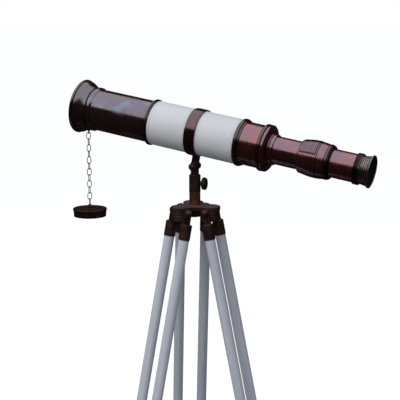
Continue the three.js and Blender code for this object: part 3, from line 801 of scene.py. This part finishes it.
def add_relay():
    add_drawn_tube("draw_tube")
    start, end, bore, _ = measured("relay_barrel", OPTICS)
    seam = start + RELAY_SEAM
    swell = smooth_through([(start + along, height) for along, height in RELAY_SWELL])
    tail = smooth_through([(seam + 1.0, 39.9), (seam + 8, 39.2), (end - 0.8, 37.9)])
    barrel = [(start, bore, 0.3), (start, 34.2, 0.6), (start + 1.6, 35.8, 0.6), *swell,
              (seam - 0.9, 40.0, 0.2), (seam, 38.8), (seam + 0.9, 39.9, 0.2), *tail[1:],
              (end, 37.4, 0.4), (end, bore, 0.3)]
    turned_for("relay_barrel", barrel, OPTICS, EYE_BRONZE)
    start, end, bore, radius = measured("relay_barrel_ring", OPTICS)
    dark_ring = [(start, bore, 0.3), (start, 37.4, 0.4), (start + 1.4, radius, 0.6), (start + 5.2, 38.3, 0.4),
                 (start + 5.8, 37.5, 0.2), (end - 3.2, 37.1, 0.8), (end, 34.2, 1.0), (end, bore, 0.3)]
    turned_for("relay_barrel_ring", dark_ring, OPTICS, [BAND_BRONZE, RING_BRONZE],
               paint=lambda along, r: int(along > start + 5.3))


def curved_plate(name, first, last, half_angle, lift, look):
    """A thin plate bent over the top of the relay barrel, between two places along it."""
    barrel_start = measured("relay_barrel", OPTICS)[0]
    swell = smooth_through(RELAY_SWELL, 12)
    rows, columns = 12, 56
    outer, inner = [], []
    for i in range(rows + 1):
        along = first + (last - first) * i / rows
        under = min(swell, key=lambda point: abs(point[0] - along))[1]
        for skin, radius in ((outer, under + lift), (inner, under - 0.6)):
            angles = [math.radians(half_angle) * (2 * k / columns - 1) for k in range(columns + 1)]
            skin.append([polar(radius, a, barrel_start + along) for a in angles])
    rings = [top + bottom[::-1] for top, bottom in zip(outer, inner)]
    data = mesh_from_rings(name, rings, around=False, capped=True)
    piece(name, data, OPTICS, look, "draw_tube", "bronze")


def add_relay_plate():
    """The curved name plate's blank on its darker seat, from the near side over to the far side."""
    curved_plate("relay_barrel_plate_seat", first=3.6, last=41.6, half_angle=67.5, lift=0.3,
                 look=RING_BRONZE)
    curved_plate("relay_barrel_plate", first=6.0, last=39.4, half_angle=62, lift=0.9, look=PLATE_BRONZE)


def add_eyepiece():
    add_drawn_tube("eyepiece_tube")
    start, end, bore, radius = measured("eyepiece_ring", OPTICS)
    band = [(start, bore, 0.3), (start, radius, 0.8), (start + 3.4, radius, 0.3), (start + 4.2, radius - 0.9),
            (start + 5.0, radius, 0.3), (end, radius, 1.0), (end, bore, 0.3)]
    turned_for("eyepiece_ring", band, OPTICS, RING_BRONZE)
    start, end, bore, radius = measured("eyecup", OPTICS)
    neck = end - 24
    spigot_bore, spigot = 31.1, 32.1
    dish = flare(end - 14, end - 1.6, 20.0, 33.2, 1.6, 12)
    ribs = []
    for i in range(4):
        crest = neck + 4.2 + 4.1 * i
        height = 28.4 + 0.14 * (crest - neck)
        ribs += [(crest - 2.05, height + 0.55), *arc(crest, height - 1.0, 2.6, 130, 50, 6)]
    eyecup = [
        (start, spigot_bore), (neck, spigot_bore), (neck, bore, 0.6), (neck + 6, bore, 0.8), *dish,
        *arc(end - 1.4, 34.0, 1.4, -20, 90, 6), (end - 3.0, radius, 0.6), (end - 4.6, 32.6, 1.0), *ribs[::-1],
        (neck + 1.6, 28.9, 0.3), (neck + 1.6, spigot, 0.3), (start, spigot),
    ]
    turned_for("eyecup", eyecup, OPTICS, [RIB_BRONZE, DISH_BLACK],
               paint=lambda along, r: int(along > neck - 0.5 and r < 27 + 6 * max(0, along - neck - 10) / 14))


# ---- chain and cap ----
EYE_RADIUS = 3.4                 # to the middle of its wire
EYE_SIDES = 32
WIRE = 1.9                       # thickness of the eyes' and the links' wire
LINK_WIDTH = 11
LINK_LENGTH = 18.1
LINK_PITCH = 14.35
LINK_TWIST = 52                  # degrees of the first link about the chain
LINKS_PER_RUN = 6


def eye_parts(angle, rise=0):
    """A wire eye on a turned pad; the eye hangs below z = 0, and the pad reaches up by rise."""
    pad = [(rise, 0), (rise, 3.4, 0.2), (-1.2, 4, 0.5), (-2.4, 2.6, 0.6), (-2.4, 0)]
    path = [Vector((EYE_RADIUS * math.cos(a), 0, EYE_RADIUS * math.sin(a))) for a in full_turn(EYE_SIDES)]
    hanging = turn(angle, "Z") @ shift(0, 0, -2.2 - EYE_RADIUS)
    return [(round_mesh(pad, EYE_SIDES), None), (loop_mesh("wire", path, WIRE / 2), hanging)]


def link_path(steps=12):
    """The middle of a link's wire: two half circles joined by straight stretches."""
    bend = (LINK_WIDTH - WIRE) / 2
    straight = (LINK_LENGTH - LINK_WIDTH) / 2
    path = []
    for side in (1, -1):
        for k in range(steps + 1):
            angle = math.pi * k / steps
            height = straight + bend * math.sin(angle)
            path.append(Vector((side * bend * math.cos(angle), 0, side * height)))
    return path


def add_chain():
    wobble = random.Random(7)
    seat = placed(OPTICS @ (Vector((-CHAIN_SEAT, 0, CHAIN_STATION)) * MM), OPTICAL_AXIS, ACROSS, TUBE_UP)
    combined_for("chain_eye", eye_parts(LINK_TWIST + 90, rise=2.5), (), seat, RING_BRONZE)
    number = 0
    for body, joint in (("chain_upper", "chain_swing"), ("chain_lower", "chain_bend")):
        hook = Matrix.Translation(JOINTS[joint]["pos_m"])
        for i in range(LINKS_PER_RUN):
            number += 1
            name = f"chain_link_{number:02d}"
            down = LINK_PITCH * i + (LINK_LENGTH - WIRE) / 2
            twist = LINK_TWIST + 90 * (i % 2) + wobble.uniform(-9, 9)
            link = loop_mesh(name, link_path(), WIRE / 2 - 0.08)
            place = hook @ shift(0, 0, -down) @ turn(twist, "Z")
            piece(name, link, place, CHAIN_METAL, body, "dark_bronze", (body,), marked=False)


def add_cap():
    cap = Matrix.Translation(Vector((*JOINTS["cap_swing"]["pos_m"][:2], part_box("lens_cap")[1].z)))
    corners = [
        (-3, 0), (-3, 36.3, 0.8), (-19, 36.3, 0.4), (-19, 38.0, 0.5), (-17.4, 38.2, 0.3),
        (-5.6, 38.7, 0.3), (-5.0, 40, 0.5), (-1.2, 40, 0.9), (0, 38.6, 0.8), (0, 33.4, 0.3),
        (-0.5, 32.6, 0.2), (-0.5, 13.2, 0.2), (0, 12.4, 0.3), (0, 0),
    ]
    turned_for("lens_cap", corners, cap, CAP_BRONZE)
    upright = cap @ shift(0, 0, GAP) @ turn(180, "X")
    combined_for("cap_eyelet", eye_parts(-LINK_TWIST), (), upright, RING_BRONZE)


# ---- head ----
PIVOT_BOLT_HALF = 17             # half its length
BOLT_RADIUS = 4                  # of the tilt bolt and the leg bolts
FORK_RADIUS = 9.5
NUT_RADIUS, NUT_HEIGHT = 8.6, 11.6


def dome(seat, side, radius, height, steps=10):
    """Corners of a dome nut's outside, from its seat to its crown, away from the origin."""
    corners = [(seat, radius * 0.93, 0.2), (seat + side * height * 0.16, radius)]
    for k in range(1, steps + 1):
        angle = math.pi / 2 * k / steps
        along = seat + side * height * (0.16 + 0.84 * math.sin(angle))
        corners.append((along, radius * math.cos(angle) if k < steps else 0))
    return corners


def add_fork():
    """A round bar slotted for the clamp band's lug, on a thinner stem."""
    top, slot_floor, seat = 10, -13.5, -18.3
    bar = round_mesh([(seat - 55, 0), (seat - 55, 9, 1), (seat - 0.8, 9), (seat, FORK_RADIUS, 0.3),
                      (top, FORK_RADIUS, 2.2), (top, 0)], 80)
    half = 5.1
    corners = [Vector(c) for c in ((-20, -half), (20, -half), (20, half), (-20, half))]
    slot = slab_mesh("slot", corners, slot_floor, 30, 0.6)
    hole = rod_mesh(-15, 15, BOLT_HOLE)
    combined_for("tilt_fork", [(bar, None)], [(slot, None), (hole, turn(90, "X"))], HEAD, DARK_BRONZE)


def ball_nut(side):
    """A ball on a short neck, blind-bored for the bolt's end."""
    seat, floor = side * (FORK_RADIUS + GAP), side * (PIVOT_BOLT_HALF + GAP)
    middle = seat + side * (NUT_HEIGHT - NUT_RADIUS + 1.6)
    neck_angle, steps = 128, 16
    ball = []
    for k in range(steps + 1):
        angle = math.radians(neck_angle * (1 - k / steps))
        ball.append((middle + side * (NUT_RADIUS - 1.6) * math.cos(angle), NUT_RADIUS * math.sin(angle)))
    ball[-1] = (ball[-1][0], 0)
    return [(floor, 0), (floor, BOLT_HOLE), (seat, BOLT_HOLE), (seat, 5.8, 0.3),
            (seat + side * 1.6, 5.8), *ball]


def add_head():
    add_fork()
    crosswise = HEAD @ turn(-90, "X")
    half = PIVOT_BOLT_HALF
    pin = [(-half, 0), (-half, BOLT_RADIUS, 0.5), (half, BOLT_RADIUS, 0.5), (half, 0)]
    turned_for("pivot_bolt", pin, crosswise, DARK_BRONZE, segments=32)
    for node, side in (("pivot_nut_near", -1), ("pivot_nut_far", 1)):
        turned_for(node, ball_nut(side), crosswise, DARK_BRONZE, segments=48)


def lobed_outline(radius, lobes, depth, steps=12):
    outline = []
    for angle in full_turn(lobes * steps):
        outline.append(polar(radius - depth + depth * math.cos(lobes * angle), angle))
    return outline


def knob_parts(radius, lobes, depth, thick, seat, screw):
    """A lobed hand knob about Z: a rounded grip, a raised button and its screw."""
    grip = slab_mesh("grip", lobed_outline(radius, lobes, depth), seat, seat + thick, thick * 0.42, steps=7)
    face = seat + thick
    button = round_mesh([(face - 2.2, 0), (face - 2.2, radius * 0.52, 0.2),
                         (face - 0.05, radius * 0.46, 0.7), (face - 0.05, 0)], 64)
    shaft = round_mesh([(screw, 0), (screw, 3, 0.5), (seat - 4, 3), (seat - 4, 5, 0.4),
                        (seat + 1, 5), (seat + 1, 0)], 48)
    return [(grip, None), (button, None), (shaft, None)]


def knob_place(joint):
    """A frame on the joint's axis, Z outwards."""
    outwards = Vector(JOINTS[joint]["axis"])
    side = Vector((0, 0, 1)).cross(outwards).normalized()
    return placed(Vector(JOINTS[joint]["pos_m"]), outwards.cross(side) * -1, side * -1, outwards)


def add_collar():
    start, top, bore, radius = measured("clamp_collar", HUB)
    bottom = start + 21
    spigot = 10.9
    sleeve = round_mesh([(top, bore, 0.3), (top, radius - 1.4, 0.4), (top - 1.5, radius, 0.4),
                         *groove(top - 4.5, radius, 0.8, 0.5)[::-1], (bottom, radius, 0.4),
                         (bottom, spigot), (start, spigot, 0.3), (start, bore, 0.3)], 80)
    knob = knob_place("lock_knob_turn")
    hole = rod_mesh(5, 20, SCREW_HOLE)
    combined_for("clamp_collar", [(sleeve, None)], [(hole, HUB.inverted() @ knob)], HUB, DARK_BRONZE)
    grip = knob_parts(radius=14.3, lobes=16, depth=0.25, thick=11.4, seat=16.4, screw=9.4)
    combined_for("lock_knob", grip, (), knob, KNOB_PLASTIC)
    start, end, bore, radius = measured("column_tube", HUB)
    turned_for("column_tube", ring(start, end, bore, radius, 0.3), HUB, COLUMN_BRONZE, segments=80)


# ---- hub ----
LEG_BOLT_RADIUS = 38             # leg bolts from the column's axis
LOBE_AT = LEG_BOLT_RADIUS - 1    # middle of a lobe
SKIRT_FOOT = -33                 # lower edge of the lobes' skirts


def hub_outline(steps=16):
    """Three round lobes joined by hollow fillets: one of each, turned to three places."""
    lobe, fillet = 23.6, 22
    reach = lobe + fillet
    fillet_at = LOBE_AT / 2 + math.sqrt(reach ** 2 - LOBE_AT ** 2 * 0.75)
    middle = Vector((LOBE_AT, 0))
    hollow = polar(1, math.pi / 3) * fillet_at
    touch = math.atan2(hollow.y - middle.y, hollow.x - middle.x)
    third = []
    for k in range(steps + 1):
        angle = touch * (2 * k / steps - 1)
        third.append(middle + lobe * polar(1, angle))
    first, last = touch + math.pi, 5 * math.pi / 3 - touch
    for k in range(1, steps):
        angle = first + (last - first) * k / steps
        third.append(hollow + fillet * polar(1, angle))
    return [Matrix.Rotation(i * 2 * math.pi / 3, 2) @ point for i in range(3) for point in third]


def skirt_corners():
    """A lobe's tapered skirt, with three grooves round it."""
    wall = [(SKIRT_FOOT, 0), (SKIRT_FOOT, 20.3, 1.0)]
    for height in (-26, -19.5, -13):
        radius = 20.3 + (height - SKIRT_FOOT) / 9
        wall += [(height - 0.8, radius, 0.2), (height, radius - 0.45), (height + 0.8, radius, 0.2)]
    return wall + [(-4, 23.4), (-4, 0)]


def add_hub():
    plate = slab_mesh("plate", hub_outline(), -10, 0, 2.2, steps=5)
    boss = round_mesh([(-11, 0), (-11, 16, 0.6), (-5, 16), (-5, 0)], 64)
    added = [(plate, None), (boss, None)]
    column_hole = rod_mesh(-30, 10, 12.9, 80)
    removed = [(column_hole, None)]
    for i in range(3):
        spin = turn(120 * i, "Z")
        lobe = spin @ shift(LOBE_AT, 0, 0)
        added.append((round_mesh(skirt_corners(), 80), lobe))
        pocket = [(-40, 0), (-40, 15.8), (-7.5, 18.8, 1.5), (-7.5, 0)]
        removed.append((round_mesh(pocket, 64), lobe))
        bolt = spin @ shift(LEG_BOLT_RADIUS, 0, -12) @ turn(90, "X")
        removed.append((rod_mesh(-40, 40, BOLT_HOLE), bolt))
    combined_for("hub", added, removed, HUB, HUB_BRONZE)


# ---- legs ----
ROD_SPACING = 58
EAR_INNER, EAR_OUTER = 24.5, 30.5        # the ferrules' ears, along the bolt
FERRULE_RADIUS = 13
ROD_RADIUS = 11.75
DOME_RADIUS, DOME_HEIGHT = 8.3, 8.5      # the leg bolts' dome nuts
BRACKET_TOP, BRACKET_END = -690, -745    # up the leg, from the bolt
BRACKET_RADIUS = 15.5
LOWER_BORE = 12.3                        # radius of the bores round the lower rod


def add_leg_bolt(number, leg):
    reach = EAR_OUTER + GAP
    near, far = (dome(side * reach, side, DOME_RADIUS, DOME_HEIGHT) for side in (-1, 1))
    corners = [*near[::-1], (-reach, BOLT_RADIUS), (reach, BOLT_RADIUS), *far]
    turned_for(f"leg_{number}_bolt", corners, leg @ turn(-90, "X"), DARK_BRONZE, segments=48)


def add_ferrule(number, letter, side, leg):
    """A grooved cup on the rod's end, with a flat ear for the bolt."""
    outer, bore = FERRULE_RADIUS, ROD_RADIUS + GAP
    outline = rounded([(-25, 0), (-25, outer - 1.4, 0.8), (-26.4, outer, 0.8),
                       *groove(-30.5, outer, 1.0, 0.6)[::-1], *groove(-56.5, outer, 0.9, 0.5)[::-1],
                       (-60, outer, 0.6), (-60, bore, 0.2), (-31, bore), (-31, 0)], support=1.2)
    cup = turned_mesh("cup", outline, 72)
    near = EAR_INNER if side > 0 else -EAR_OUTER
    plate = [p * Vector((1, -1)) for p in ear_outline(9, 29)][::-1]
    ear = slab_mesh("ear", plate, 0, EAR_OUTER - EAR_INNER, 1.0)
    stand = Matrix(((1, 0, 0, 0), (0, 0, 1, near * MM), (0, 1, 0, 0), (0, 0, 0, 1)))
    added = [(cup, shift(0, side * ROD_SPACING / 2, 0)), (ear, stand)]
    removed = [(rod_mesh(-40, 40, BOLT_HOLE), turn(90, "X"))]
    # the other solver leaves a doubled disc in the cup
    combined_for(f"leg_{number}_ferrule_{letter}", added, removed, leg, DARK_BRONZE, solver="EXACT")


def add_bracket(number, leg):
    """A sleeve round the lower rod between two sockets for the upper rods, with a boss for the screw."""
    top, end, radius = BRACKET_TOP, BRACKET_END, BRACKET_RADIUS
    sleeve = [(end, 0), (end, radius, 1.2), *groove(end + 5, radius, 1.0, 0.6), (top, radius, 1.2), (top, 0)]
    added = [(round_mesh(sleeve, 72), None)]
    removed = [(rod_mesh(end - 5, top + 5, LOWER_BORE, 72), None)]
    socket = [(top - 48, 0), (top - 48, 14.6, 2.0), (top, 14.6, 1.0), (top, 0)]
    for side in (-1, 1):
        at = shift(0, side * ROD_SPACING / 2, 0)
        added.append((round_mesh(socket, 72), at))
        removed.append((rod_mesh(top - 44, top + 5, ROD_RADIUS + GAP, 72), at))
    screw = leg.inverted() @ knob_place(f"leg_{number}_lock_screw_turn")
    added.append((round_mesh([(10, 0), (10, 7), (19.5, 7, 0.8), (19.5, 0)], 48), screw))
    removed.append((rod_mesh(5, 25, SCREW_HOLE), screw))
    combined_for(f"leg_{number}_bracket", added, removed, leg, DARK_BRONZE)


def add_foot(number, leg):
    """A turned shoe on the lower rod, cut level with the floor."""
    top = measured(f"leg_{number}_foot", leg)[1]
    shoe = [
        (top, LOWER_BORE, 0.3), (top, 14.4, 0.6), (top - 34, 15, 0.5), (top - 42, 17.5, 3),
        (top - 47, 20, 2), (top - 64, 20), (top - 64, 0), (top - 30, 0), (top - 30, LOWER_BORE),
    ]
    size = 200 * MM
    work = bmesh.new()
    bmesh.ops.create_cube(work, size=size)
    ground = mesh_from(work, "ground")
    sole = leg @ Vector((0, 0, (top - 47) * MM))
    below = leg.inverted() @ Matrix.Translation((sole.x, sole.y, -size / 2))
    combined_for(f"leg_{number}_foot", [(round_mesh(shoe, 80), None)], [(ground, below)], leg, DARK_BRONZE)


def add_rod(node, place, upper_edge):
    start, end, _, radius = measured(node, place)
    corners = [(start, 0), (start, radius, 1.0), (end, radius, upper_edge), (end, 0)]
    turned_for(node, corners, place, WOOD, segments=72)


def add_leg(number):
    leg = leg_place(number)
    add_leg_bolt(number, leg)
    for letter, side in (("a", -1), ("b", 1)):
        add_ferrule(number, letter, side, leg)
        add_rod(f"leg_{number}_rod_{letter}", leg @ shift(0, side * ROD_SPACING / 2, 0), 1.0)
    add_bracket(number, leg)
    screw = knob_place(f"leg_{number}_lock_screw_turn")
    grip = knob_parts(radius=11, lobes=6, depth=1, thick=8, seat=21.5, screw=12.4)
    combined_for(f"leg_{number}_lock_screw", grip, (), screw, DARK_BRONZE)
    add_rod(f"leg_{number}_lower_rod", leg, 1.5)
    add_foot(number, leg)


# ---- floor, light and camera ----
def add_floor():
    work = bmesh.new()
    bmesh.ops.create_grid(work, x_segments=1, y_segments=1, size=60)
    data = mesh_from(work, "floor")
    floor = scene_object("floor", data)
    floor.location.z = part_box("leg_1_foot")[0].z - 0.0005
    look = Recipe("pale_floor", Metallic=0.0, Roughness=0.9, Specular_IOR_Level=0.0)
    look.set("Base Color", (0.9, 0.9, 0.9, 1))
    look.set("Emission Color", (1, 1, 1, 1))
    look.set("Emission Strength", 0.6)
    data.materials.append(look.material)
    floor.visible_glossy = False
    floor.visible_diffuse = False
    floor.visible_transmission = False


SKY_LEAN = (0.0, -0.216, 0.976)      # middle of the bright sky seen in reflections
SKY_EDGE = 0.552                     # cosine of the angle from there to its edge
LIGHT_LEAN = (-0.12, -0.35, 0.93)    # where the soft daylight comes from
LIGHT_DISTANCE = 4.0


def ramp(tree, value, stops):
    made = add_node(tree, "ShaderNodeValToRGB", {"Fac": value})
    band = made.color_ramp
    while len(band.elements) < len(stops):
        band.elements.new(0.5)
    for element, (at, color) in zip(band.elements, stops):
        element.position = at
        element.color = (*color, 1)
    return made.outputs["Color"]


def add_world():
    """White for the camera, a sky with a sharp lower edge in reflections, a soft gradient as light."""
    world = bpy.data.worlds.new("studio")
    world.use_nodes = True
    bpy.context.scene.world = world
    tree = world.node_tree
    tree.nodes.clear()
    direction = add_node(tree, "ShaderNodeTexCoord").outputs["Generated"]

    def nearness(lean):
        """From 0 away from lean to 1 towards it."""
        facing = add_node(tree, "ShaderNodeVectorMath", {0: direction, 1: lean}, operation="DOT_PRODUCT")
        inputs = {"Value": facing.outputs["Value"], "From Min": -1.0, "From Max": 1.0}
        return add_node(tree, "ShaderNodeMapRange", inputs).outputs[0]

    def mix(share, first, second):
        inputs = {0: share, 6: first, 7: second}
        return add_node(tree, "ShaderNodeMix", inputs, data_type="RGBA").outputs[2]

    edge = (SKY_EDGE + 1) / 2
    mirrored = ramp(tree, nearness(SKY_LEAN), [
        (0.0, (0.020, 0.012, 0.010)), (edge - 0.12, (0.035, 0.018, 0.014)),
        (edge - 0.004, (0.045, 0.022, 0.016)), (edge + 0.004, (0.95, 0.80, 0.74)),
        (edge + 0.06, (0.98, 0.93, 0.95)), (1.0, (0.95, 0.97, 1.05)),
    ])
    lighting = ramp(tree, nearness(LIGHT_LEAN), [
        (0.0, (0.09, 0.09, 0.085)), (0.45, (0.12, 0.12, 0.12)),
        (0.62, (0.33, 0.345, 0.37)), (1.0, (0.52, 0.54, 0.58)),
    ])
    ray = add_node(tree, "ShaderNodeLightPath").outputs
    seen = mix(ray["Is Glossy Ray"], lighting, mirrored)
    backdrop = mix(ray["Is Camera Ray"], seen, (1, 1, 1, 1))
    shine = add_node(tree, "ShaderNodeBackground", {"Color": backdrop, "Strength": 1.0})
    add_node(tree, "ShaderNodeOutputWorld", {"Surface": shine.outputs[0]})


def from_target(azimuth, elevation):
    """The direction from a target to a lamp or camera; angles in radians."""
    level = math.cos(elevation)
    return Vector((math.sin(azimuth) * level, -math.cos(azimuth) * level, math.sin(elevation)))


def aimed(name, data, target, back, distance):
    """A lamp or camera that looks at its target from a distance."""
    thing = scene_object(name, data)
    thing.location = target + back * distance
    thing.rotation_mode = "QUATERNION"
    thing.rotation_quaternion = (-back).to_track_quat("-Z", "Y")
    return thing


def add_area_light(name, azimuth, elevation, size, power):
    """A soft light round the tube, unseen in reflections. Angles in degrees, as the camera's."""
    data = bpy.data.lights.new(name, "AREA")
    data.shape = "DISK"
    data.size = size
    data.energy = power
    back = from_target(math.radians(azimuth), math.radians(elevation))
    lamp = aimed(name, data, COLUMN + Vector((0, 0, HUB_TOP)), back, LIGHT_DISTANCE)
    lamp.visible_glossy = False


CAMERA_AZIMUTH = math.radians(24.5)
CAMERA_ELEVATION = math.radians(10.5)
CAMERA_DISTANCE = 2.453
CAMERA_RIGHT = 0.0116                # aim point right of the tube's axis over the column
CAMERA_DOWN = 0.1512                 # and below it
LENS = 99.0


def add_camera():
    back = from_target(CAMERA_AZIMUTH, CAMERA_ELEVATION)
    right = Vector((math.cos(CAMERA_AZIMUTH), math.sin(CAMERA_AZIMUTH), 0))
    up = back.cross(right)
    data = bpy.data.cameras.new("camera")
    data.lens = LENS
    data.sensor_width = 36
    data.clip_start = 0.01
    over_column = OPTICS @ Vector((0, 0, 0))
    over_column.x = COLUMN.x
    aim = over_column + right * CAMERA_RIGHT - up * CAMERA_DOWN
    bpy.context.scene.camera = aimed("camera", data, aim, back, CAMERA_DISTANCE)


add_front()
add_lenses()
add_bead_rings()
add_sleeve()
add_stitches()
add_clamp_band()
add_rear()
add_relay()
add_relay_plate()
add_eyepiece()
add_chain()
add_cap()
add_head()
add_collar()
add_hub()
for number in LEGS:
    add_leg(number)
add_floor()
add_world()
add_area_light("key", azimuth=-10, elevation=50, size=2.5, power=60)
add_camera()
bpy.context.scene.view_settings.view_transform = "Standard"
